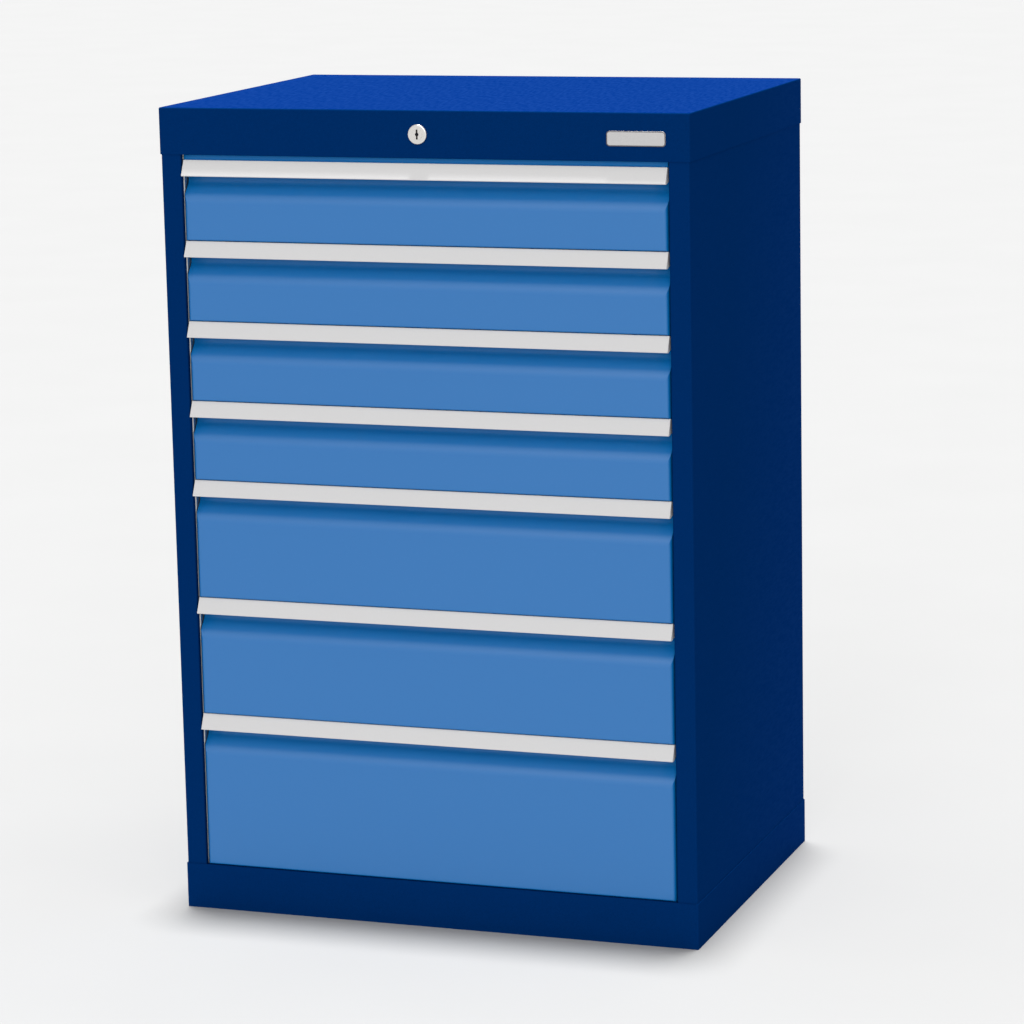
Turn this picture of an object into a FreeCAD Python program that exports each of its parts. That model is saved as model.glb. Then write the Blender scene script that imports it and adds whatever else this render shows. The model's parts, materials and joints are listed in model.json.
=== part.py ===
import FreeCAD, Part
import math
import os
from FreeCAD import Vector

# Seven-drawer steel cabinet, in millimetres.
# X runs to the right, Y to the back and Z up. The origin is on the floor, midway between the
# front of the handles and the back of the casing. Drawers are numbered from the top.

# Overall sizes
width = 680.0
depth = 500.0
module_heights = (100.0, 100.0, 100.0, 100.0, 150.0, 150.0, 200.0)
plinth_height = 57.5
cover_height = 57.5
sill_lap = 2.5
head_gap = 6.5

# Casing
casing_sheet = 1.25
back_sheet = 1.0
floor_sheet = 1.5
casing_bend = 0.75
cover_round = 1.6
post_width = 27.0
post_return = 7.0
rear_flange = 20.0
lintel_depth = 20.0
floor_flange = 25.0
panel_flange = 15.0

# Slotted uprights
upright_inset = 1.0
upright_width = 23.0
upright_sheet = 1.5
upright_gap = 0.75
hook_slot_width = 2.4
hook_slot_height = 14.0
hook_slot_pitch = 25.0
hook_slot_edge = 5.5
hook_sheet = 1.2
hook_height = 10.0
hook_reach = 6.0

# Telescopic slides: fixed, middle and drawer members nest in one another
slide_width = 12.7
slide_sheet = 1.2
slide_bend = 0.8
slide_centre = 30.0
fixed_height = 45.8
middle_height = 36.8
inner_height = 27.8
member_gap = 0.6
fixed_flange = 9.4
middle_tip_gap = 2.1
slide_front_gap = 1.0
slide_rear_gap = 6.5
upright_overhang = 8.5

# Drawer fronts
front_setback = 2.5
side_gap = 2.25
stack_gap = 1.0
sill_gap = 0.5
head_clearance = 1.0
drawer_sheet = 1.0
front_corner = 5.0
front_bottom_bend = 2.0
recess_depth = 16.0
recess_top = 26.0
recess_angle = 42.0
recess_bend = 8.0
recess_lip_bend = 20.0

# Drawer trays
tray_lift = 4.0
tray_rear_gap = 18.5
tray_bend = 1.5
side_drop = 24.0
front_wall_depth = 30.0
gusset_length = 25.0
hem_height = 10.0
divider_slot = 2.0
divider_pitch = 25.0
divider_margin = 18.0
divider_low = 10.0

# Handle strips
handle_top_back = 2.5
handle_nose_out = 7.0
handle_face = 19.4
handle_wall = 1.8
handle_lip = 5.0
handle_leg = 15.4
handle_end = 1.5
handle_gap = 0.4
nose_round = 1.0
edge_round = 0.5

# Central lock
lock_radius = 9.5
rosette_radius = 12.0
rosette_height = 3.5
rosette_round = 1.5
plug_radius = 7.0
plug_proud = 0.3
shaft_clearance = 0.05
hole_clearance = 0.1
keyway_width = 2.2
keyway_height = 12.0
keyway_depth = 16.0
keyhole_radius = 2.1
nut_flats = 24.0
nut_thickness = 4.0
tail_size = 8.0
cam_hub = 8.0
cam_sheet = 2.5
cam_radius = 7.5
pin_radius = 2.5
pin_proud = 1.0
cam_slot_play = 0.7
drive_slot_play = 0.4
link_gap = 0.6
bar_sheet = 2.5
bar_margin = 4.0
bar_left = 9.0
bar_end_clearance = 1.5
rod_width = 8.0
rod_sheet = 3.0
rod_gap = 2.2
rod_top = 8.0
rod_tail = 8.0
guide_sheet = 2.0
guide_play = 0.4
guide_rim = 4.0
guide_edge = 1.5
guide_flange = 14.0
guide_drop = 36.0
guided_drawers = (0, 4, 6)
bar_guide_places = (60.0, 250.0)
catch_low = 54.0
catch_height = 8.0
catch_sheet = 2.5
catch_engagement = 6.5
catch_lap = 7.0
lug_gap = 1.5
lug_play = 0.8
lug_sheet = 2.5
lug_foot = 22.0
lug_reach = 9.7
lug_height = 11.5

# Badge
badge_length = 73.0
badge_height = 18.0
badge_thickness = 1.6
badge_corner = 4.0
badge_edge = 0.5
badge_drop = 2.0

# Worked-out places of the casing
height = plinth_height - sill_lap + sum(module_heights) + head_gap + cover_height
handle_reach = handle_nose_out - front_setback
front_y = -(depth - handle_reach) / 2
back_y = front_y + depth
body_front_y = front_y + casing_sheet
body_back_y = back_y - casing_sheet
body_half = width / 2 - casing_sheet
inner_half = body_half - casing_sheet
opening_half = width / 2 - post_width
cover_low_z = height - cover_height
under_top_z = height - casing_sheet
floor_top_z = plinth_height - casing_sheet
back_panel_y = body_back_y - casing_sheet - back_sheet

# Worked-out places of the drawers and their slides
front_plane_y = front_y + front_setback
front_half = opening_half - side_gap
pan_depth = recess_depth + drawer_sheet
slide_face_x = opening_half - upright_inset
tray_half = slide_face_x - slide_width
tray_front_y = front_plane_y + pan_depth
tray_back_y = back_panel_y - tray_rear_gap
slide_front_y = tray_front_y + slide_front_gap
slide_back_y = tray_back_y - slide_rear_gap
front_upright_y = body_front_y + post_return + upright_gap
rear_upright_y = slide_back_y + upright_overhang - upright_width
front_hook_y = front_upright_y + upright_width - hook_slot_edge
rear_hook_y = rear_upright_y + hook_slot_edge

# The handle's face leans forward by a share of its height
handle_lean = (handle_top_back + handle_nose_out) / handle_face
handle_plate_depth = handle_wall * math.hypot(1, handle_lean)

# Worked-out places of the lock
lock_z = cover_low_z + cover_height / 2
rod_front_y = front_upright_y + upright_width + rod_gap
rod_back_y = rod_front_y + rod_sheet
bar_back_y = rod_front_y - link_gap
bar_front_y = bar_back_y - bar_sheet
cam_back_y = bar_front_y - link_gap
cam_front_y = cam_back_y - cam_sheet
barrel_back_y = cam_front_y - link_gap / 2
pin_offset = cam_radius * math.sin(math.radians(45))
lock_travel = 2 * pin_offset
bar_low_z = lock_z - cam_radius - pin_radius - cam_slot_play - bar_margin
bar_high_z = lock_z - pin_offset + pin_radius + cam_slot_play + bar_margin
drive_slot_radius = pin_radius + drive_slot_play
drive_x = inner_half - bar_end_clearance - bar_margin - drive_slot_radius - lock_travel
drive_z = (bar_low_z + bar_high_z) / 2 - lock_travel / 2
rod_left_x = drive_x - rod_width / 2
rod_right_x = drive_x + rod_width / 2
catch_back_y = rod_back_y + catch_sheet
catch_tip_x = tray_half + lug_reach - catch_engagement

# Each outline below is drawn in one of these planes
PLAN, FRONT, SIDE = "plan", "front", "side"
TINY = 1e-6

# A cutter runs this far past the faces that it opens
CUT_OVER = 1.0


def placed(plane, point, offset):
    if plane == PLAN:
        return Vector(point.x, point.y, offset)
    if plane == FRONT:
        return Vector(point.x, offset, point.y)
    return Vector(offset, point.x, point.y)


def outline(points, radii, plane, offset):
    """Closed wire through the points, with each corner rounded by its own radius."""
    corners = [Vector(a, b, 0) for a, b in points]
    count = len(corners)
    starts = []
    middles = []
    ends = []
    for i in range(count):
        corner = corners[i]
        back = (corners[i - 1] - corner).normalize()
        ahead = (corners[(i + 1) % count] - corner).normalize()
        if radii[i] <= 0:
            starts.append(corner)
            middles.append(None)
            ends.append(corner)
            continue
        half_angle = back.getAngle(ahead) / 2
        reach = radii[i] / math.tan(half_angle)
        bisector = (back + ahead).normalize()
        to_arc = radii[i] / math.sin(half_angle) - radii[i]
        starts.append(corner + back * reach)
        middles.append(corner + bisector * to_arc)
        ends.append(corner + ahead * reach)
    edges = []
    for i in range(count):
        if middles[i] is not None:
            arc_points = [placed(plane, p, offset) for p in (starts[i], middles[i], ends[i])]
            edges.append(Part.Arc(*arc_points).toShape())
        following = starts[(i + 1) % count]
        if ends[i].distanceToPoint(following) > TINY:
            line_points = [placed(plane, p, offset) for p in (ends[i], following)]
            edges.append(Part.LineSegment(*line_points).toShape())
    return Part.Wire(edges)


def prism(points, plane, low, high, radii=None):
    """Solid between two parallel planes with the given outline."""
    if radii is None:
        radii = [0] * len(points)
    face = Part.Face(outline(points, radii, plane, low))
    direction = {PLAN: Vector(0, 0, 1), FRONT: Vector(0, 1, 0), SIDE: Vector(1, 0, 0)}[plane]
    return face.extrude(direction * (high - low))


def folded(path, sheet, bend, plane, low, high):
    """Folded sheet along a path of its one face; the sheet lies on the path's left."""
    vectors = [Vector(a, b, 0) for a, b in path]
    legs = [(vectors[i + 1] - vectors[i]).normalize() for i in range(len(vectors) - 1)]
    lefts = [Vector(-leg.y, leg.x, 0) for leg in legs]
    offset_points = [vectors[0] + lefts[0] * sheet]
    path_radii = [0]
    offset_radii = [0]
    for i in range(1, len(vectors) - 1):
        between = lefts[i - 1] + lefts[i]
        miter = between * (2 * sheet / between.dot(between))
        offset_points.append(vectors[i] + miter)
        turns_left = legs[i - 1].cross(legs[i]).z > 0
        path_radii.append(bend + sheet if turns_left else bend)
        offset_radii.append(bend if turns_left else bend + sheet)
    offset_points.append(vectors[-1] + lefts[-1] * sheet)
    path_radii.append(0)
    offset_radii.append(0)
    loop = [(v.x, v.y) for v in vectors] + [(v.x, v.y) for v in reversed(offset_points)]
    return prism(loop, plane, low, high, path_radii + offset_radii[::-1])


def block(x_limits, y_limits, z_limits):
    corner = Vector(x_limits[0], y_limits[0], z_limits[0])
    sizes = [limits[1] - limits[0] for limits in (x_limits, y_limits, z_limits)]
    return Part.makeBox(*sizes, corner)


def rod_along_y(x, z, radius, y_limits):
    start = Vector(x, y_limits[0], z)
    return Part.makeCylinder(radius, y_limits[1] - y_limits[0], start, Vector(0, 1, 0))


def mirrored(shape):
    return shape.mirror(Vector(0, 0, 0), Vector(1, 0, 0))


def joined(*shapes):
    return shapes[0].multiFuse(list(shapes[1:])).removeSplitter()


def parted(shape, plane, at):
    """Solids of a shape on the low side of a plane, then those on its high side."""
    span = rectangle((-height, height), (-height, height))
    sides = [prism(span, plane, -height, at), prism(span, plane, at, 2 * height)]
    return [solid for side in sides for solid in shape.common(side).Solids]


def rectangle(a_limits, b_limits):
    return [(a_limits[0], b_limits[0]), (a_limits[1], b_limits[0]),
            (a_limits[1], b_limits[1]), (a_limits[0], b_limits[1])]


def export(node, *solids):
    shape = solids[0] if len(solids) == 1 else Part.makeCompound(list(solids))
    if not shape.isValid():
        print("not valid:", node)
    if len(shape.Solids) != len(solids):
        print("wrong number of solids:", node, len(shape.Solids))
    shape.exportStep("parts/" + node + ".step")


# Casing

def shell_block(low_z, high_z):
    """Block of the casing's outer plan with softly folded upright edges."""
    outer_bend = casing_bend + casing_sheet
    plan = rectangle((-width / 2, width / 2), (front_y, back_y))
    return prism(plan, PLAN, low_z, high_z, [outer_bend] * 4)


def shell_hollow(low_z, high_z):
    plan = rectangle((-body_half, body_half), (body_front_y, body_back_y))
    return prism(plan, PLAN, low_z, high_z, [casing_bend] * 4)


def front_flange(low_z):
    y_limits = (front_y + casing_sheet / 2, front_y + lintel_depth)
    return block((-slide_face_x, slide_face_x), y_limits, (low_z, low_z + casing_sheet))


def top_cover():
    outer = shell_block(cover_low_z, height)
    top_edges = [e for e in outer.Edges if min(v.Point.z for v in e.Vertexes) > height - TINY]
    outer = outer.makeFillet(cover_round, top_edges)
    pan = outer.cut(shell_hollow(cover_low_z, under_top_z))
    pan = joined(pan, front_flange(cover_low_z))
    hole_radius = lock_radius + hole_clearance
    hole = rod_along_y(0, lock_z, hole_radius, (front_y - CUT_OVER, body_front_y + CUT_OVER))
    skirts, top = parted(pan.cut(hole), PLAN, under_top_z)
    left, others = parted(skirts, SIDE, casing_bend - body_half)
    *ends, right = parted(others, SIDE, body_half - casing_bend)
    front, back = sorted(ends, key=lambda sheet: sheet.CenterOfMass.y)
    return [top, left, right, back, *parted(front, PLAN, cover_low_z + casing_sheet)]


def plinth():
    frame = shell_block(0, plinth_height).cut(shell_hollow(floor_sheet, plinth_height))
    window_x = width / 2 - floor_flange
    y_limits = (front_y + floor_flange, back_y - floor_flange)
    window = block((-window_x, window_x), y_limits, (0, floor_sheet))
    return joined(frame.cut(window), front_flange(floor_top_z))


def side_panel():
    path = [(opening_half, body_front_y + post_return), (opening_half, body_front_y),
            (body_half, body_front_y), (body_half, body_back_y), (body_half - rear_flange, body_back_y)]
    panel = folded(path, casing_sheet, casing_bend, PLAN, floor_sheet, under_top_z)
    return parted(panel, SIDE, inner_half - casing_bend)


def back_panel():
    """Sheet that lies on the rear flanges and ends beside their folds."""
    half = inner_half - casing_bend
    return block((-half, half), (back_panel_y, back_panel_y + back_sheet), (floor_sheet, under_top_z))


def bottom_panel():
    low_z = floor_top_z - panel_flange
    path = [(back_panel_y, low_z), (back_panel_y, floor_top_z), (front_upright_y, floor_top_z),
            (front_upright_y, low_z)]
    return folded(path, casing_sheet, casing_bend, SIDE, -inner_half, inner_half)


def upright(start_y, hook_y):
    """Right-hand slotted post with its web towards the drawers."""
    end_y = start_y + upright_width
    path = [(inner_half, end_y), (slide_face_x, end_y), (slide_face_x, start_y), (inner_half, start_y)]
    post = folded(path, upright_sheet, casing_bend, PLAN, floor_top_z, cover_low_z)
    slots = []
    slot_z = module_bottoms[-1] + slide_centre
    while slot_z + hook_slot_height < cover_low_z:
        slots.append(block((slide_face_x - CUT_OVER, slide_face_x + upright_sheet + CUT_OVER),
                           (hook_y - hook_slot_width / 2, hook_y + hook_slot_width / 2),
                           (slot_z - hook_slot_height / 2, slot_z + hook_slot_height / 2)))
        slot_z += hook_slot_pitch
    return post.cut(Part.makeCompound(slots))


# Telescopic slides, right-hand side

def channel(web_x, tip_x, tall, centre_z, y_limits):
    """Slide member with its web at one place across the slide and its flange tips at another."""
    low_z = centre_z - tall / 2
    high_z = centre_z + tall / 2
    path = [(tip_x, low_z), (web_x, low_z), (web_x, high_z), (tip_x, high_z)]
    if web_x > tip_x:
        return folded(path, slide_sheet, slide_bend, FRONT, *y_limits)
    return folded(path[::-1], slide_sheet, slide_bend, FRONT, *y_limits)


def cabinet_rail(module_z):
    centre_z = module_z + slide_centre
    rail = channel(slide_face_x, slide_face_x - fixed_flange, fixed_height, centre_z,
                   (slide_front_y, slide_back_y))
    hooks = [block((slide_face_x - slide_sheet, slide_face_x + hook_reach),
                   (hook_y - hook_sheet / 2, hook_y + hook_sheet / 2),
                   (centre_z - hook_height / 2, centre_z + hook_height / 2))
             for hook_y in (front_hook_y, rear_hook_y)]
    return joined(rail, *hooks)


def middle_rail(module_z):
    web_x = slide_face_x - slide_sheet - member_gap
    return channel(web_x, tray_half + middle_tip_gap, middle_height, module_z + slide_centre,
                   (slide_front_y, slide_back_y))


def drawer_rail(module_z):
    tip_x = slide_face_x - 2 * (slide_sheet + member_gap)
    return channel(tray_half, tip_x, inner_height, module_z + slide_centre, (slide_front_y, slide_back_y))


# Drawers

def recess_outline(module_top, low_z, shift):
    """Side outline of a drawer front, from its lower edge up to the top of the finger recess."""
    angle = math.radians(recess_angle)
    bends = recess_bend + recess_lip_bend
    straight = (recess_depth - bends * (1 - math.cos(angle))) / math.tan(angle)
    slope_height = bends * math.sin(angle) + straight
    lower_corner = module_top - recess_top - slope_height + recess_lip_bend * math.tan(angle / 2)
    upper_corner = module_top - recess_top - recess_bend * math.tan(angle / 2)
    corner_shift = shift * math.tan(angle / 2)
    points = [(front_plane_y + shift, low_z + shift),
              (front_plane_y + shift, lower_corner + corner_shift),
              (front_plane_y + recess_depth + shift, upper_corner + corner_shift)]
    radii = [front_bottom_bend - shift, recess_lip_bend - shift, recess_bend + shift]
    return points, radii


def front_solid(module_top, low_z, shift, top_z, back_y):
    points, radii = recess_outline(module_top, low_z, shift)
    points.append((front_plane_y + recess_depth + shift, top_z))
    points.append((back_y, top_z))
    points.append((back_y, low_z + shift))
    half = front_half - shift
    side_cut = prism(points, SIDE, -half, half, radii + [0, 0, 0])
    plan = rectangle((-half, half), (front_plane_y + shift, back_y))
    plan_radii = [front_corner - shift, front_corner - shift, 0, 0]
    return side_cut.common(prism(plan, PLAN, low_z + shift, top_z, plan_radii))


def front_low(module_z):
    """Lower edge of a drawer front; the sill cuts the lowest one short."""
    return max(module_z + stack_gap / 2, plinth_height + sill_gap)


def drawer_front(module_z, module_height):
    module_top = module_z + module_height
    low_z = front_low(module_z)
    top_z = module_top - stack_gap / 2
    outer = front_solid(module_top, low_z, 0, top_z, tray_front_y)
    inner = front_solid(module_top, low_z, drawer_sheet, top_z + CUT_OVER, tray_front_y + CUT_OVER)
    flange_front_y = front_plane_y + handle_top_back + handle_plate_depth + handle_gap
    flange_z = (top_z - drawer_sheet, top_z)
    flange = block((-front_half, front_half), (flange_front_y, tray_front_y), flange_z)
    return joined(outer.cut(inner), flange)


def head_strip():
    """Strip along the top drawer's front, turned up behind its handle to close the gap below the cover."""
    strip_y = front_plane_y + handle_top_back + handle_plate_depth + handle_gap
    low_z = cover_low_z - head_gap - stack_gap / 2 - drawer_sheet
    high_z = cover_low_z - head_clearance
    return block((-front_half, front_half), (strip_y, strip_y + drawer_sheet), (low_z, high_z))


def drawer_tray(module_z, module_height):
    low_z = max(module_z + tray_lift, front_low(module_z) + front_bottom_bend)
    top_z = module_z + module_height - stack_gap / 2
    rim_z = module_z + module_height - side_drop
    wall_y = front_plane_y + front_wall_depth
    gusset_y = wall_y + drawer_sheet + gusset_length
    wall_top = top_z - drawer_sheet
    path = [(-tray_half, wall_top), (-tray_half, low_z), (tray_half, low_z), (tray_half, wall_top)]
    sides = folded(path, drawer_sheet, tray_bend, FRONT, tray_front_y, tray_back_y)
    cut_points = [(wall_y + drawer_sheet, top_z), (gusset_y, rim_z), (tray_back_y + CUT_OVER, rim_z),
                  (tray_back_y + CUT_OVER, top_z)]
    sides = sides.cut(prism(cut_points, SIDE, -width, width))
    inner = tray_half - drawer_sheet
    tongue = block((-inner, inner), (front_plane_y + drawer_sheet, tray_front_y + drawer_sheet),
                   (low_z, low_z + drawer_sheet))
    wall_low = low_z + drawer_sheet / 2
    hem_limits = (rim_z - hem_height, rim_z)
    front_wall = block((-inner, inner), (wall_y, wall_y + drawer_sheet), (wall_low, top_z))
    ledge = block((-tray_half, tray_half), (tray_front_y, wall_y + drawer_sheet), (wall_top, top_z))
    back_wall = block((-inner, inner), (tray_back_y - drawer_sheet, tray_back_y), (wall_low, rim_z))
    back_hem = block((-inner, inner), (tray_back_y - 2 * drawer_sheet, tray_back_y), hem_limits)
    side_hem = block((inner - drawer_sheet, inner), (gusset_y, tray_back_y), hem_limits)
    tray = joined(sides, tongue, front_wall, ledge, back_wall, back_hem, side_hem, mirrored(side_hem))
    return tray.cut(Part.makeCompound(divider_slots(low_z, rim_z, gusset_y)))


def divider_slots(low_z, rim_z, first_y):
    """Cutters for the divider slots in the two side walls and the end walls of a tray."""
    z_limits = (low_z + divider_low, rim_z - hem_height - divider_low / 2)
    cutters = []
    y = first_y + divider_margin
    while y < tray_back_y - divider_margin:
        x_limits = (-tray_half - CUT_OVER, tray_half + CUT_OVER)
        cutters.append(block(x_limits, (y, y + divider_slot), z_limits))
        y += divider_pitch
    x = -tray_half + divider_margin
    while x < tray_half - divider_margin:
        cutters.append(block((x, x + divider_slot), (first_y, tray_back_y + CUT_OVER), z_limits))
        x += divider_pitch
    return cutters


def handle_face_y(drop):
    """Place of the handle's leaning face at a distance below its top edge."""
    return front_plane_y + handle_top_back - handle_lean * drop


def drawer_handle(module_z, module_height):
    top_z = module_z + module_height - stack_gap / 2
    nose_z = top_z - handle_face
    web_top = top_z - drawer_sheet
    web_low = web_top - handle_wall
    leg_z = top_z - handle_leg
    recess_y = front_plane_y + recess_depth
    nose = (handle_face_y(handle_face), nose_z)
    lip_end_y = nose[0] + handle_lip
    back_of_top = (handle_face_y(0) + handle_plate_depth, top_z)
    back_of_step = (handle_face_y(drawer_sheet) + handle_plate_depth, web_top)
    under_web = (handle_face_y(drawer_sheet + handle_wall) + handle_plate_depth, web_low)
    over_lip = (handle_face_y(handle_face - handle_wall) + handle_plate_depth, nose_z + handle_wall)
    section = [(handle_face_y(0), top_z), nose, (lip_end_y, nose_z), (lip_end_y, nose_z + handle_wall),
               over_lip, under_web, (recess_y - handle_wall, web_low), (recess_y - handle_wall, leg_z),
               (recess_y, leg_z), (recess_y, web_top), back_of_step, back_of_top]
    radii = [edge_round, nose_round, 0, 0, edge_round, edge_round, edge_round, 0, 0, 0, 0, 0]
    strip = prism(section, SIDE, -front_half, front_half, radii)
    end_outline = [(handle_face_y(0), top_z), nose, (lip_end_y, nose_z), (recess_y, leg_z),
                   (recess_y, web_top), back_of_step, back_of_top]
    end_radii = [edge_round, nose_round, 0, 0, 0, 0, 0]
    end = prism(end_outline, SIDE, front_half - handle_end, front_half, end_radii)
    return joined(strip, end, mirrored(end))


def lock_lug(module_z):
    low_z = module_z + catch_low + catch_height + lug_gap
    lug_y = catch_back_y + lug_play
    path = [(tray_half, lug_y + lug_foot), (tray_half, lug_y), (tray_half + lug_reach, lug_y)]
    return folded(path[::-1], -lug_sheet, lug_sheet, PLAN, low_z, low_z + lug_height)


# Central lock

def lock_housing():
    barrel = rod_along_y(0, lock_z, lock_radius, (front_y, barrel_back_y))
    rosette = rod_along_y(0, lock_z, rosette_radius, (front_y - rosette_height, front_y))
    rim = [e for e in rosette.Edges if abs(e.CenterOfMass.y - front_y + rosette_height) < TINY]
    rosette = rosette.makeFillet(rosette_round, rim)
    bore_front_y = front_y - rosette_height - CUT_OVER
    bore = rod_along_y(0, lock_z, plug_radius + shaft_clearance, (bore_front_y, barrel_back_y))
    return joined(barrel, rosette).cut(bore)


def lock_nut():
    corner_radius = nut_flats / math.sqrt(3)
    angles = [math.radians(60 * i) for i in range(6)]
    corners = [(corner_radius * math.cos(a), lock_z + corner_radius * math.sin(a)) for a in angles]
    nut_back_y = body_front_y + nut_thickness
    blank = prism(corners, FRONT, body_front_y, nut_back_y)
    return blank.cut(rod_along_y(0, lock_z, lock_radius + shaft_clearance, (body_front_y, nut_back_y)))


def lock_plug():
    face_y = front_y - rosette_height - plug_proud
    core = rod_along_y(0, lock_z, plug_radius, (face_y, barrel_back_y))
    half = tail_size / 2
    tail = block((-half, half), (barrel_back_y, cam_back_y), (lock_z - half, lock_z + half))
    keyway = block((-keyway_width / 2, keyway_width / 2), (face_y, face_y + keyway_depth),
                   (lock_z - keyway_height / 2, lock_z + keyway_height / 2))
    keyhole = rod_along_y(0, lock_z, keyhole_radius, (face_y, face_y + keyway_depth))
    return joined(core, tail).cut(keyway).cut(keyhole)


def lock_cam():
    """Cam with its pin at the lower right, a quarter turn from the lower left."""
    pin_x = pin_offset
    pin_z = lock_z - pin_offset
    y_limits = (cam_front_y, cam_back_y)
    hub = rod_along_y(0, lock_z, cam_hub, y_limits)
    end = rod_along_y(pin_x, pin_z, 2 * pin_radius, y_limits)
    pin = rod_along_y(pin_x, pin_z, pin_radius, (cam_back_y, bar_back_y + pin_proud))
    half = tail_size / 2
    square = block((-half, half), y_limits, (lock_z - half, lock_z + half))
    return joined(hub, end, pin).cut(square)


def slot(start, end, radius, y_limits):
    """Cutter for a slot with round ends between two places seen from the front."""
    run = Vector(end[0] - start[0], end[1] - start[1], 0)
    side = Vector(-run.y, run.x, 0) * (radius / run.Length)
    corners = [(start[0] + side.x, start[1] + side.y), (start[0] - side.x, start[1] - side.y),
               (end[0] - side.x, end[1] - side.y), (end[0] + side.x, end[1] + side.y)]
    ends = [rod_along_y(x, z, radius, y_limits) for x, z in (start, end)]
    return joined(prism(corners, FRONT, *y_limits), *ends)


def lock_bar():
    """Bar with an upright slot for the cam's pin and one that climbs to the right and lifts the rod."""
    right_x = drive_x + lock_travel + drive_slot_radius + bar_margin
    end_left_x = drive_x - drive_slot_radius - bar_margin
    end_low_z = drive_z - drive_slot_radius - bar_margin
    end_high_z = drive_z + lock_travel + drive_slot_radius + bar_margin
    y_limits = (bar_front_y, bar_back_y)
    strip = block((pin_offset - bar_left, drive_x), y_limits, (bar_low_z, bar_high_z))
    end_corners = rectangle((end_left_x, right_x), (end_low_z, end_high_z))
    end = prism(end_corners, FRONT, *y_limits, [bar_margin] * 4)
    cam_slot = slot((pin_offset, lock_z - cam_radius), (pin_offset, lock_z - pin_offset),
                    pin_radius + cam_slot_play, y_limits)
    drive_slot = slot((drive_x, drive_z), (drive_x + lock_travel, drive_z + lock_travel),
                      drive_slot_radius, y_limits)
    return joined(strip, end).cut(cam_slot).cut(drive_slot)


def catch_bottom(module_z):
    return module_z + catch_low


def guide_z(module_z):
    return catch_bottom(module_z) - guide_drop


def lock_rod():
    low_z = guide_z(module_bottoms[-1]) - rod_tail
    high_z = drive_z + rod_top
    strip = block((rod_left_x, rod_right_x), (rod_front_y, rod_back_y), (low_z, high_z))
    pin = rod_along_y(drive_x, drive_z, pin_radius, (bar_front_y - pin_proud, rod_front_y))
    return joined(strip, pin)


def lock_catch(module_z):
    low_z = catch_bottom(module_z)
    x_limits = (catch_tip_x, rod_left_x + catch_lap)
    return block(x_limits, (rod_back_y, catch_back_y), (low_z, low_z + catch_height))


def rod_guide(module_z):
    """Angle bracket on the side panel with a window that the rod slides in."""
    low_z = guide_z(module_z)
    y_limits = (rod_front_y - rod_gap + guide_play, rod_back_y + guide_rim + guide_play)
    left_x = rod_left_x - guide_play - guide_edge
    path = [(left_x, low_z), (inner_half, low_z), (inner_half, low_z + guide_flange)]
    angle = folded(path, guide_sheet, guide_sheet, FRONT, *y_limits)
    window = block((rod_left_x - guide_play, rod_right_x + guide_play),
                   (rod_front_y - guide_play, rod_back_y + guide_play), (low_z, low_z + guide_sheet))
    return angle.cut(window)


def bar_guide(place_x):
    """Angle bracket under the top with a window that the bar slides in."""
    y_limits = (bar_front_y - guide_rim, bar_back_y + guide_rim)
    low_z = bar_low_z - guide_rim
    path = [(place_x + guide_flange, under_top_z), (place_x, under_top_z), (place_x, low_z)]
    angle = folded(path, guide_sheet, guide_sheet, FRONT, *y_limits)
    window_y = (bar_front_y - guide_play, bar_back_y + guide_play)
    window_z = (bar_low_z - guide_play, bar_high_z + guide_play)
    return angle.cut(block((place_x, place_x + guide_sheet), window_y, window_z))


def badge_plate():
    centre_z = lock_z - badge_drop
    z_limits = (centre_z - badge_height / 2, centre_z + badge_height / 2)
    corners = rectangle((front_half - badge_length, front_half), z_limits)
    plate = prism(corners, FRONT, front_y - badge_thickness, front_y, [badge_corner] * 4)
    face_y = front_y - badge_thickness
    rim = [e for e in plate.Edges if max(v.Point.y for v in e.Vertexes) < face_y + TINY]
    return plate.makeFillet(badge_edge, rim)


def stack_of_modules():
    """Lower edge of each drawer module, from the top drawer down."""
    bottoms = []
    z = cover_low_z - head_gap
    for module_height in module_heights:
        z -= module_height
        bottoms.append(z)
    return bottoms


module_bottoms = stack_of_modules()
os.makedirs("parts", exist_ok=True)

right_side = side_panel()
export("side_panel_right", *right_side)
export("side_panel_left", *[mirrored(sheet) for sheet in right_side])
export("top_cover", *top_cover())
export("plinth", plinth())
export("back_panel", back_panel())
export("bottom_panel", bottom_panel())

right_posts = [upright(front_upright_y, front_hook_y), upright(rear_upright_y, rear_hook_y)]
export("uprights", *right_posts, *[mirrored(post) for post in right_posts])

right_rails = [cabinet_rail(z) for z in module_bottoms]
export("cabinet_rails", *right_rails, *[mirrored(rail) for rail in right_rails])

for number, (module_z, module_height) in enumerate(zip(module_bottoms, module_heights), start=1):
    drawer = "drawer_%d_" % number
    export(drawer + "tray", drawer_tray(module_z, module_height))
    front = drawer_front(module_z, module_height)
    export(drawer + "front", joined(front, head_strip()) if number == 1 else front)
    export(drawer + "handle", drawer_handle(module_z, module_height))
    export(drawer + "lock_lug", lock_lug(module_z))
    rail = drawer_rail(module_z)
    export(drawer + "rails", rail, mirrored(rail))
    middle = middle_rail(module_z)
    export(drawer + "mid_rails", middle, mirrored(middle))

export("lock_housing", lock_housing())
export("lock_nut", lock_nut())
export("lock_plug", lock_plug())
export("lock_cam", lock_cam())
export("lock_bar", lock_bar())
export("lock_rod", lock_rod())
export("lock_catches", *[lock_catch(z) for z in module_bottoms])
export("lock_guides", *[rod_guide(module_bottoms[i]) for i in guided_drawers],
       *[bar_guide(x) for x in bar_guide_places])
export("badge_plate", badge_plate())
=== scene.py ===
import bpy
import bmesh
import json
import math
from mathutils import Matrix, Vector


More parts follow.
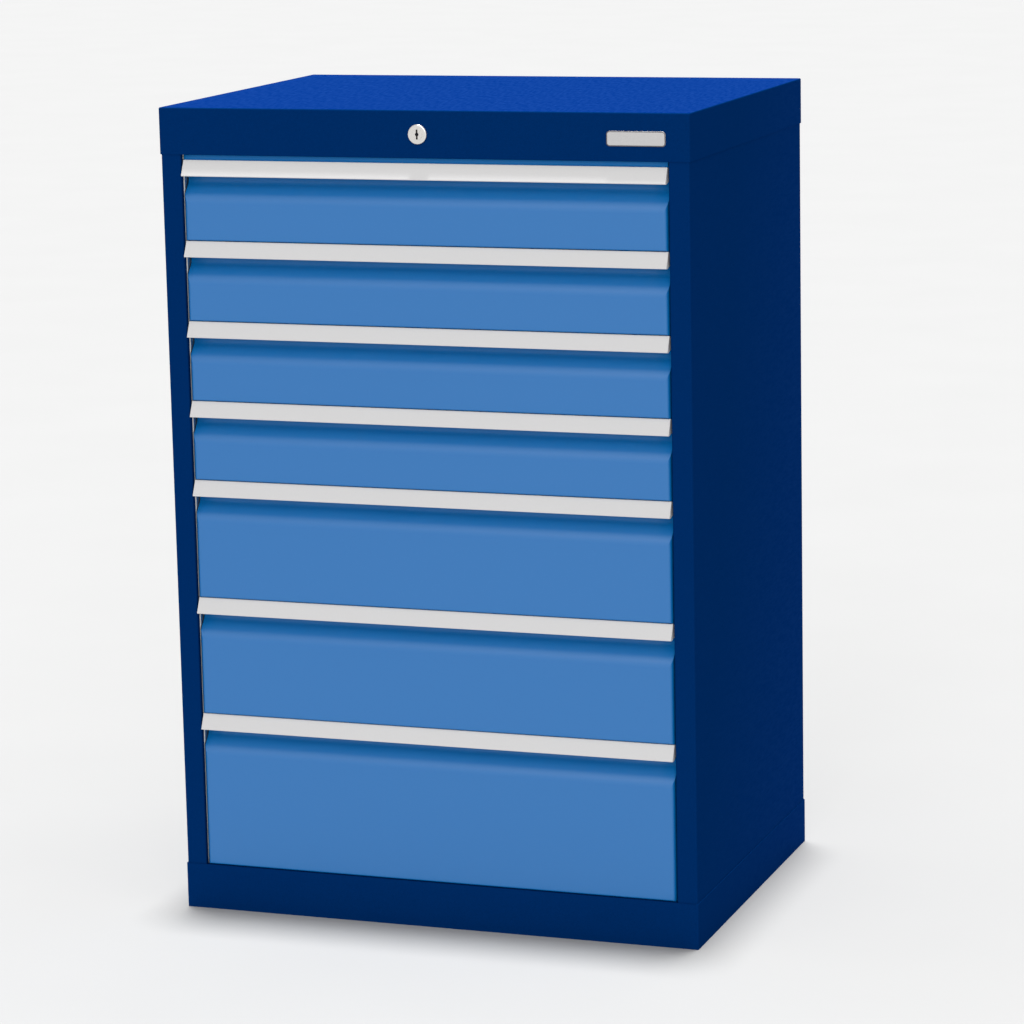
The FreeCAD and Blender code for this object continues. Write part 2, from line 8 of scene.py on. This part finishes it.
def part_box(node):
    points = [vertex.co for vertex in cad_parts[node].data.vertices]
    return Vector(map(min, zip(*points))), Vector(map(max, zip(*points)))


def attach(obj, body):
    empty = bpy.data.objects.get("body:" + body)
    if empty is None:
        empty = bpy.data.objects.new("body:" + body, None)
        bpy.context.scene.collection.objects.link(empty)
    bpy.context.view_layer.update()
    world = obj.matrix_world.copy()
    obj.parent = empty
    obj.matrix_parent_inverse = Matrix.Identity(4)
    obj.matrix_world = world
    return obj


# Seven-drawer steel cabinet. Everything is in metres, in the frame of the cabinet: X to the right,
# Y to the back, Z up, with the floor at Z = 0. Places are read from the frame's own nodes.

MM = 0.001

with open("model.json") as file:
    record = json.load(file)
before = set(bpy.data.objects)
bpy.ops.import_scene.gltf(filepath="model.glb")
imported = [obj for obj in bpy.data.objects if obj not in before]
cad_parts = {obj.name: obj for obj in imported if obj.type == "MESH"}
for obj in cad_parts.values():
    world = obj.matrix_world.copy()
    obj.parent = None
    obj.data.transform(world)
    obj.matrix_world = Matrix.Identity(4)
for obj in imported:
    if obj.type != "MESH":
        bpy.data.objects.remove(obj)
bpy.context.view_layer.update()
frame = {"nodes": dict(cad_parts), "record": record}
nodes = frame["nodes"]
drawer_numbers = [n for n in range(1, len(nodes)) if "drawer_%d_tray" % n in nodes]


# Materials. Scales of noise and crystals are in waves or crystals to the metre.

# Sockets that share their name with others on the same node
mix_color_a = 6
mix_color_b = 7
mix_color_result = 2
mix_shader_a = 1
mix_shader_b = 2

# The range in which a noise mostly runs
noise_low = 0.3
noise_high = 0.7

# Painted shade in hollows: the openness up to which a hollow has its gloss taken out, and the openness from
# which it has all of it
hollow_shade_openness = (0.55, 0.95)
hollow_samples = 6

glaze_ior = 1.1
glaze_reflectances = (0.078, 0.17)
glaze_shares = (0.008, 0.18)
glaze_speckle = 320.0
glaze_stretch = (1, 0.2, 1)

peel_scale = 420.0
grains_per_patch = 8
peel_per_grain = 6
paint_gloss_swing = 0.04

fine_relief = 0.002 * MM
rolling_stretch = (1, 0.02, 1)
zinc_tones = (0.95, 1.04)
zinc_gloss_swing = 0.04
turned_tones = (0.92, 1.04)
turned_gloss_swing = 0.05


class Shader:
    """A material with one Principled shader, and short calls for the nodes that feed it."""

    def __init__(self, name, **settings):
        self.material = bpy.data.materials.new(name)
        self.material.use_nodes = True
        self.tree = self.material.node_tree
        self.principled = self.tree.nodes["Principled BSDF"]
        for socket, value in settings.items():
            self.principled.inputs[socket.replace("_", " ")].default_value = value

    def node(self, kind, **settings):
        made = self.tree.nodes.new(kind)
        for key, value in settings.items():
            setattr(made, key, value)
        return made

    def link(self, output, target):
        self.tree.links.new(output, target)

    def place(self, scale=(1, 1, 1)):
        """Coordinates fixed to the piece, in metres, stretched by a scale."""
        coordinates = self.node("ShaderNodeTexCoord")
        mapping = self.node("ShaderNodeMapping")
        mapping.inputs["Scale"].default_value = scale
        self.link(coordinates.outputs["Object"], mapping.inputs["Vector"])
        return mapping.outputs["Vector"]

    def noise(self, scale, detail=2.0, roughness=0.5, stretch=(1, 1, 1)):
        made = self.node("ShaderNodeTexNoise")
        made.inputs["Scale"].default_value = scale
        made.inputs["Detail"].default_value = detail
        made.inputs["Roughness"].default_value = roughness
        self.link(self.place(stretch), made.inputs["Vector"])
        return made.outputs["Fac"]

    def cells(self, scale):
        made = self.node("ShaderNodeTexVoronoi")
        made.inputs["Scale"].default_value = scale
        self.link(self.place(), made.inputs["Vector"])
        return made.outputs["Color"]

    def spread(self, value, low, high, from_low=noise_low, from_high=noise_high):
        """Turns a value's range into another one."""
        made = self.node("ShaderNodeMapRange")
        made.inputs["From Min"].default_value = from_low
        made.inputs["From Max"].default_value = from_high
        made.inputs["To Min"].default_value = low
        made.inputs["To Max"].default_value = high
        self.link(value, made.inputs["Value"])
        return made.outputs["Result"]

    def blend(self, value, color_a, color_b):
        made = self.node("ShaderNodeMix", data_type="RGBA")
        made.inputs[mix_color_a].default_value = (*color_a, 1)
        made.inputs[mix_color_b].default_value = (*color_b, 1)
        self.link(value, made.inputs["Factor"])
        return made.outputs[mix_color_result]

    def bump(self, height, depth, under=None):
        made = self.node("ShaderNodeBump")
        made.inputs["Distance"].default_value = depth
        self.link(height, made.inputs["Height"])
        if under is not None:
            self.link(under, made.inputs["Normal"])
        return made.outputs["Normal"]

    def feed(self, socket, output):
        self.link(output, self.principled.inputs[socket])

    def shade_hollow_gloss(self, level, reach):
        """Painted shade: takes the gloss out of hollows by how open they are, as where nothing bright is
        mirrored.
        """
        openness = self.node("ShaderNodeAmbientOcclusion", samples=hollow_samples)
        openness.inputs["Distance"].default_value = reach
        gloss = self.spread(openness.outputs["AO"], 0, level, *hollow_shade_openness)
        self.feed("Specular IOR Level", gloss)

    def glaze(self, colors, roughness, normal):
        """Lays a faint satin reflection in speckled colours over the paint, stronger at low angles."""
        fresnel = self.node("ShaderNodeFresnel")
        fresnel.inputs["IOR"].default_value = glaze_ior
        gloss = self.node("ShaderNodeBsdfAnisotropic")
        gloss.inputs["Roughness"].default_value = roughness
        speckle = self.spread(self.noise(glaze_speckle, stretch=glaze_stretch), 0, 1)
        self.link(self.blend(speckle, *colors), gloss.inputs["Color"])
        self.link(normal, gloss.inputs["Normal"])
        mixed = self.node("ShaderNodeMixShader")
        share = self.spread(fresnel.outputs["Fac"], *glaze_shares, *glaze_reflectances)
        self.link(share, mixed.inputs["Fac"])
        self.link(self.principled.outputs["BSDF"], mixed.inputs[mix_shader_a])
        self.link(gloss.outputs["BSDF"], mixed.inputs[mix_shader_b])
        self.link(mixed.outputs["Shader"], self.tree.nodes["Material Output"].inputs["Surface"])


def shaded(color, factor):
    """A colour made darker or lighter."""
    return tuple(channel * factor for channel in color)


def powder_coat(name, color, mottle, grain, roughness, specular, peel_depth, glaze=None, hollows=None):
    """Sprayed and baked powder: soft orange peel under a fine grain, with a slight mottle of tone."""
    made = Shader(name, Specular_IOR_Level=specular)
    speckle = made.noise(grain, detail=3.0, roughness=0.65)
    tone = made.spread(speckle, 0, 1)
    made.feed("Base Color", made.blend(tone, shaded(color, 1 - mottle), shaded(color, 1 + mottle)))
    patches = made.noise(grain / grains_per_patch)
    gloss = made.spread(patches, roughness - paint_gloss_swing, roughness + paint_gloss_swing)
    made.feed("Roughness", gloss)
    peel = made.bump(made.noise(peel_scale, detail=1.0), peel_depth)
    surface = made.bump(speckle, peel_depth / peel_per_grain, under=peel)
    made.feed("Normal", surface)
    # Painted shade: the gloss is taken out of hollows by how open they are
    if hollows is not None:
        made.shade_hollow_gloss(specular, hollows)
    if glaze is not None:
        made.glaze(glaze, roughness, surface)
    return made.material


def rolled_zinc(name, color, roughness, spangle, lines):
    """Zinc-plated sheet with faint crystals and rolling lines along its length."""
    made = Shader(name, Metallic=1.0)
    crystal = made.node("ShaderNodeSeparateColor")
    made.link(made.cells(spangle), crystal.inputs["Color"])
    tone = made.spread(crystal.outputs["Red"], 0, 1, from_low=0, from_high=1)
    made.feed("Base Color", made.blend(tone, *(shaded(color, factor) for factor in zinc_tones)))
    gloss = made.spread(crystal.outputs["Green"], roughness - zinc_gloss_swing, roughness + zinc_gloss_swing,
                        from_low=0, from_high=1)
    made.feed("Roughness", gloss)
    made.feed("Normal", made.bump(made.noise(lines, stretch=rolling_stretch), fine_relief))
    return made.material


def turned_metal(name, color, roughness, lines):
    """Machined and plated metal with fine turning marks."""
    made = Shader(name, Metallic=1.0)
    marks = made.noise(lines, detail=4.0)
    tone = made.spread(marks, 0, 1)
    made.feed("Base Color", made.blend(tone, *(shaded(color, factor) for factor in turned_tones)))
    made.feed("Roughness", made.spread(marks, roughness - turned_gloss_swing, roughness + turned_gloss_swing))
    made.feed("Normal", made.bump(marks, fine_relief))
    return made.material


casing_color = (0.0001, 0.0205, 0.101)
casing_glaze = ((0.003, 0.02, 0.63), (0.06, 0.18, 1.0))
drawer_color = (0.001, 0.1345, 0.404)
handle_color = (0.597, 0.591, 0.589)

casing_paint = powder_coat("casing_paint", casing_color, mottle=0.16, grain=1100.0, roughness=0.4,
                           specular=0.0, peel_depth=0.06 * MM, glaze=casing_glaze)
# The drawer paint gets painted shade in its hollows, where its gloss is taken out
drawer_paint = powder_coat("drawer_paint", drawer_color, mottle=0.015, grain=1300.0, roughness=0.4,
                           specular=0.76, peel_depth=0.03 * MM, hollows=25 * MM)
tray_paint = powder_coat("tray_paint", drawer_color, mottle=0.015, grain=1300.0, roughness=0.46,
                         specular=0.7, peel_depth=0.03 * MM)
handle_paint = powder_coat("handle_paint", handle_color, mottle=0.03, grain=1500.0, roughness=0.55,
                           specular=0.3, peel_depth=0.08 * MM)
galvanised = rolled_zinc("galvanised", (0.58, 0.58, 0.57), roughness=0.44, spangle=110.0, lines=600.0)
slide_steel = rolled_zinc("slide_steel", (0.66, 0.67, 0.68), roughness=0.3, spangle=160.0, lines=700.0)
lock_links = rolled_zinc("lock_links", (0.6, 0.6, 0.58), roughness=0.36, spangle=160.0, lines=700.0)
lock_nickel = turned_metal("lock_nickel", (0.78, 0.76, 0.73), roughness=0.3, lines=2600.0)
badge_metal = turned_metal("badge", (0.59, 0.58, 0.58), roughness=0.45, lines=1800.0)
# Dark metal of the plate's rim, standing in for the shadow along the plate's edge
badge_rim_shadow_metal = turned_metal("badge_rim", (0.17, 0.155, 0.16), roughness=0.4, lines=1800.0)
ball_steel = turned_metal("ball_steel", (0.82, 0.83, 0.85), roughness=0.12, lines=3000.0)
cage_brass = turned_metal("cage_brass", (0.62, 0.52, 0.28), roughness=0.38, lines=1500.0)
# Near-black steel for the disc that stands in for the shade inside the keyhole
keyhole_shade_steel = turned_metal("keyhole_shade_steel", (0.018, 0.018, 0.022), roughness=0.5, lines=2600.0)

slot_materials = {
    "casing_paint": casing_paint, "drawer_paint": drawer_paint, "tray_paint": tray_paint,
    "handle_paint": handle_paint, "galvanised": galvanised, "slide_steel": slide_steel,
    "lock_links": lock_links, "lock_nickel": lock_nickel, "badge": badge_metal,
}
for part in frame["record"]["subparts"]:
    nodes[part["node"]].data.materials.clear()
    nodes[part["node"]].data.materials.append(slot_materials[part["material_slot"]])


# Pieces

# Flat top of a domed head, as a share of its radius
head_flat = 0.05


def piece(name, shape, body, material, smooth=False):
    """Makes an object from a bmesh, and lets it ride on a body."""
    mesh = bpy.data.meshes.new(name)
    shape.to_mesh(mesh)
    shape.free()
    mesh.materials.append(material)
    for polygon in mesh.polygons:
        polygon.use_smooth = smooth
    made = bpy.data.objects.new(name, mesh)
    bpy.context.scene.collection.objects.link(made)
    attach(made, body)


def turned(shape, profile, place, axis, segments=20):
    """Adds a turned solid: the profile's (radius, height) points go round the axis from the place."""
    turn = axis.to_track_quat("Z", "Y").to_matrix().to_4x4()
    seat = Matrix.Translation(place) @ turn
    rings = []
    for radius, height in profile:
        ring = []
        for segment in range(segments):
            angle = 2 * math.pi * segment / segments
            point = Vector((radius * math.cos(angle), radius * math.sin(angle), height))
            ring.append(shape.verts.new(seat @ point))
        rings.append(ring)
    for low, high in zip(rings, rings[1:]):
        for segment in range(segments):
            after = (segment + 1) % segments
            shape.faces.new((low[segment], low[after], high[after], high[segment]))
    shape.faces.new(rings[-1])
    shape.faces.new(list(reversed(rings[0])))


def dome(radius, height, steps=5):
    """Profile of a shallow rounded head, with a small flat top."""
    angles = [math.pi / 2 * step / steps for step in range(steps)]
    profile = [(radius * math.cos(angle), height * math.sin(angle)) for angle in angles]
    return profile + [(radius * head_flat, height)]


# Ball rows of the slides

ball_diameter = 3.2 * MM
ball_pitch = 12.0 * MM
row_margin = 8.0 * MM
outer_row_height = 20.05 * MM
inner_row_height = 15.55 * MM
row_inset = 4.2 * MM
cage_sheet = 0.8 * MM
cage_neck = 1.3 * MM
cage_bulge = 1.2 * MM
cage_steps = 8


def row_places(y_low, y_high):
    """Places of the balls that fill a stretch at their pitch."""
    count = int((y_high - y_low) / ball_pitch)
    first = (y_low + y_high - (count - 1) * ball_pitch) / 2
    return [first + ball_pitch * ball for ball in range(count)]


def add_balls(shape, x, z, y_places):
    """One row of balls."""
    for y in y_places:
        bmesh.ops.create_icosphere(shape, subdivisions=2, radius=ball_diameter / 2,
                                   matrix=Matrix.Translation((x, y, z)))


def add_cage(shape, x, z, y_places):
    """Flat strip that swells round each ball."""
    start = y_places[0] - ball_pitch / 2
    corners = ((-1, -1), (1, -1), (1, 1), (-1, 1))
    rows = []
    for step in range(cage_steps * len(y_places) + 1):
        half = cage_neck + cage_bulge * (1 - math.cos(2 * math.pi * step / cage_steps)) / 2
        y = start + ball_pitch * step / cage_steps
        rows.append([shape.verts.new((x + side * half, y, z + level * cage_sheet / 2))
                     for side, level in corners])
    for near, far in zip(rows, rows[1:]):
        for corner in range(len(corners)):
            after = (corner + 1) % len(corners)
            shape.faces.new((near[corner], far[corner], far[after], near[after]))
    shape.faces.new(rows[0])
    shape.faces.new(list(reversed(rows[-1])))


def add_slide_rows(number):
    """Balls and cages of a drawer's two slides: the outer rows at the back, the inner rows in front."""
    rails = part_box("drawer_%d_mid_rails" % number)
    row_x = rails[1][0] - row_inset
    centre_z = (rails[0][2] + rails[1][2]) / 2
    middle_y = (rails[0][1] + rails[1][1]) / 2
    halves = {"outer": (middle_y + row_margin, rails[1][1] - row_margin, outer_row_height),
              "inner": (rails[0][1] + row_margin, middle_y - row_margin, inner_row_height)}
    for name, (y_low, y_high, row_height) in halves.items():
        balls = bmesh.new()
        cages = bmesh.new()
        y_places = row_places(y_low, y_high)
        for side in (-1, 1):
            for level in (-1, 1):
                add_balls(balls, side * row_x, centre_z + level * row_height, y_places)
                add_cage(cages, side * row_x, centre_z + level * row_height, y_places)
        body = "mid_rails_%d" % number
        prefix = "drawer_%d_%s" % (number, name)
        piece(prefix + "_balls", balls, body, ball_steel, smooth=True)
        piece(prefix + "_cages", cages, body, cage_brass)


# Rivets, weld marks and the plate's rim

rivet_radius = 3.6 * MM
rivet_height = 1.1 * MM
rivet_first = 68.5 * MM
rivet_pitch = 175.0 * MM
rivet_count = 3
tray_wall = 1.0 * MM


def add_tray_rivets(number):
    """Rivets that hold the tray's slide members, seen inside the tray between the divider slots."""
    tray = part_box("drawer_%d_tray" % number)
    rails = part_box("drawer_%d_rails" % number)
    head = dome(rivet_radius, rivet_height)
    z = (rails[0][2] + rails[1][2]) / 2
    shape = bmesh.new()
    for side in (-1, 1):
        x = side * (tray[1][0] - tray_wall)
        for rivet in range(rivet_count):
            y = rails[0][1] + rivet_first + rivet_pitch * rivet
            turned(shape, head, (x, y, z), Vector((-side, 0, 0)))
    piece("drawer_%d_rivets" % number, shape, "drawer_%d" % number, slide_steel, smooth=True)


weld_radius = 3.0 * MM
weld_height = 0.12 * MM
weld_inset = 10.0 * MM
weld_pitch = 88.0 * MM
weld_first = 44.0 * MM
weld_end_gap = 22.0 * MM


def add_weld_marks():
    """Spot welds down the rear flanges of the side panels."""
    mark = dome(weld_radius, weld_height)
    shape = bmesh.new()
    for name, side in (("side_panel_left", -1), ("side_panel_right", 1)):
        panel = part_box(name)
        edge_x = panel[1][0] if side > 0 else panel[0][0]
        weld_x = edge_x - side * weld_inset
        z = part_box("plinth")[1][2] + weld_first
        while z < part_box("top_cover")[0][2] - weld_end_gap:
            turned(shape, mark, (weld_x, panel[1][1], z), Vector((0, 1, 0)))
            z += weld_pitch
    piece("weld_marks", shape, "root", casing_paint, smooth=True)


catch_rivet_radius = 2.4 * MM
catch_rivet_height = 0.5 * MM
catch_drop = 5.5 * MM


def add_catch_rivets():
    """Rivet heads on the front of the lock rod, one at each catch."""
    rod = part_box("lock_rod")
    rod_x = (rod[0][0] + rod[1][0]) / 2
    head = dome(catch_rivet_radius, catch_rivet_height)
    shape = bmesh.new()
    for number in drawer_numbers:
        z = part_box("drawer_%d_lock_lug" % number)[0][2] - catch_drop
        turned(shape, head, (rod_x, rod[0][1], z), Vector((0, -1, 0)))
    piece("catch_rivets", shape, "lock_rod", lock_links, smooth=True)


rim_width = 1.2 * MM
rim_height = 0.25 * MM
rim_corner = 4.0 * MM
rim_inset = 0.15 * MM
rim_sink = 0.1 * MM


def rounded_loop(half_x, half_z, radius, steps=8):
    """Corner points of a rounded rectangle, anticlockwise seen from the front."""
    points = []
    for quarter, (side_x, side_z) in enumerate(((1, 1), (-1, 1), (-1, -1), (1, -1))):
        for step in range(steps + 1):
            angle = math.pi / 2 * (quarter + step / steps)
            x = side_x * (half_x - radius) + radius * math.cos(angle)
            z = side_z * (half_z - radius) + radius * math.sin(angle)
            points.append((x, z))
    return points


def add_badge_rim():
    """Rolled rim round the bare plate, dark, which stands in for the shadow along the plate's edge."""
    low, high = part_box("badge_plate")
    centre_x = (low[0] + high[0]) / 2
    centre_z = (low[2] + high[2]) / 2
    half_x = (high[0] - low[0]) / 2
    half_z = (high[2] - low[2]) / 2
    section = ((0, -rim_sink), (0, rim_height / 2), (rim_width / 3, rim_height),
               (rim_width * 2 / 3, rim_height), (rim_width, -rim_sink))
    shape = bmesh.new()
    loops = []
    for across, rise in section:
        inset = rim_inset + across
        outline = rounded_loop(half_x - inset, half_z - inset, rim_corner - inset)
        loops.append([shape.verts.new((centre_x + x, low[1] - rise, centre_z + z)) for x, z in outline])
    count = len(loops[0])
    for outer, inner in zip(loops, loops[1:] + loops[:1]):
        for point in range(count):
            after = (point + 1) % count
            shape.faces.new((outer[point], outer[after], inner[after], inner[point]))
    piece("badge_rim", shape, "root", badge_rim_shadow_metal)


# Size of the near-black disc of painted shade over the keyhole
keyhole_shade_radius = 2.3 * MM
keyhole_shade_height = 0.08 * MM


def add_keyhole_shade():
    """Painted shade: a near-black round disc over the keyhole, standing in for the shade inside it."""
    low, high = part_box("lock_plug")
    shape = bmesh.new()
    centre = ((low[0] + high[0]) / 2, low[1], (low[2] + high[2]) / 2)
    turned(shape, dome(keyhole_shade_radius, keyhole_shade_height), centre, Vector((0, -1, 0)))
    piece("keyhole_shade_disc", shape, "lock_plug", keyhole_shade_steel, smooth=True)


for number in drawer_numbers:
    add_slide_rows(number)
    add_tray_rivets(number)
add_weld_marks()
add_catch_rivets()
add_badge_rim()
add_keyhole_shade()


# Stage

floor_half = 40.0
floor_cells = 8
floor_mottle = 3.0
floor_tones = ((0.345, 0.345, 0.345), (0.35, 0.35, 0.35))
world_strength = 0.68
horizon_strength = 0.905


def add_floor():
    """Wide plain floor with a faint mottle."""
    shape = bmesh.new()
    bmesh.ops.create_grid(shape, x_segments=floor_cells, y_segments=floor_cells, size=floor_half)
    mesh = bpy.data.meshes.new("floor")
    shape.to_mesh(mesh)
    shape.free()
    shader = Shader("floor", Roughness=0.9, Specular_IOR_Level=0.0)
    tone = shader.spread(shader.noise(floor_mottle), 0, 1)
    shader.feed("Base Color", shader.blend(tone, *floor_tones))
    mesh.materials.append(shader.material)
    floor = bpy.data.objects.new("floor", mesh)
    bpy.context.scene.collection.objects.link(floor)


def background(made, strength):
    """Sets a background to an even white."""
    made.inputs["Color"].default_value = (1, 1, 1, 1)
    made.inputs["Strength"].default_value = strength
    return made.outputs["Background"]


def add_world():
    """Even white light all round, and about the floor's tone where the camera sees past the floor."""
    world = bpy.data.worlds.new("studio")
    world.use_nodes = True
    tree = world.node_tree
    lighting = background(tree.nodes["Background"], world_strength)
    horizon = background(tree.nodes.new("ShaderNodeBackground"), horizon_strength)
    ray = tree.nodes.new("ShaderNodeLightPath")
    sky = tree.nodes.new("ShaderNodeMixShader")
    tree.links.new(ray.outputs["Is Camera Ray"], sky.inputs["Fac"])
    tree.links.new(lighting, sky.inputs[mix_shader_a])
    tree.links.new(horizon, sky.inputs[mix_shader_b])
    tree.links.new(sky.outputs["Shader"], tree.nodes["World Output"].inputs["Surface"])
    bpy.context.scene.world = world


def direction(azimuth, elevation):
    """Unit vector towards an azimuth, in degrees round from the front to the right, and a height."""
    turn = math.radians(azimuth)
    rise = math.radians(elevation)
    return Vector((math.sin(turn) * math.cos(rise), -math.cos(turn) * math.cos(rise), math.sin(rise)))


def add_sun(name, azimuth, elevation, strength, angle):
    """Distant soft light."""
    data = bpy.data.lights.new(name, "SUN")
    data.energy = strength
    data.angle = math.radians(angle)
    lamp = bpy.data.objects.new(name, data)
    bpy.context.scene.collection.objects.link(lamp)
    lamp.rotation_euler = direction(azimuth, elevation).to_track_quat("Z", "Y").to_euler()


# Camera, in degrees and metres, with its place counted from the frame's origin

camera_azimuth = 19.574
camera_elevation = 11.062
camera_roll = -1.172
camera_right = 20.63 * MM
camera_up = 472.04 * MM
camera_distance = 4970.0 * MM
camera_reach = 200.0
focal_pixels = 3796.6
image_pixels = 1024
sensor_width = 36.0


def add_camera():
    """Camera at the photograph's viewing angle."""
    back = direction(camera_azimuth, camera_elevation)
    right = direction(camera_azimuth + 90, 0)
    up = back.cross(right)
    roll = math.radians(camera_roll)
    rolled_right = right * math.cos(roll) + up * math.sin(roll)
    rolled_up = up * math.cos(roll) - right * math.sin(roll)
    axes = Matrix((rolled_right, rolled_up, back)).transposed().to_4x4()
    place = back * camera_distance + right * camera_right + up * camera_up
    data = bpy.data.cameras.new("camera")
    data.sensor_width = sensor_width
    data.lens = focal_pixels / image_pixels * sensor_width
    data.clip_end = camera_reach
    camera = bpy.data.objects.new("camera", data)
    bpy.context.scene.collection.objects.link(camera)
    camera.matrix_world = Matrix.Translation(place) @ axes
    bpy.context.scene.camera = camera


add_floor()
add_world()
add_sun("overhead", azimuth=188, elevation=86.6, strength=5.5, angle=7)
add_sun("front_key", azimuth=12, elevation=28, strength=1.3, angle=50)
add_camera()
bpy.context.scene.view_settings.view_transform = "Standard"
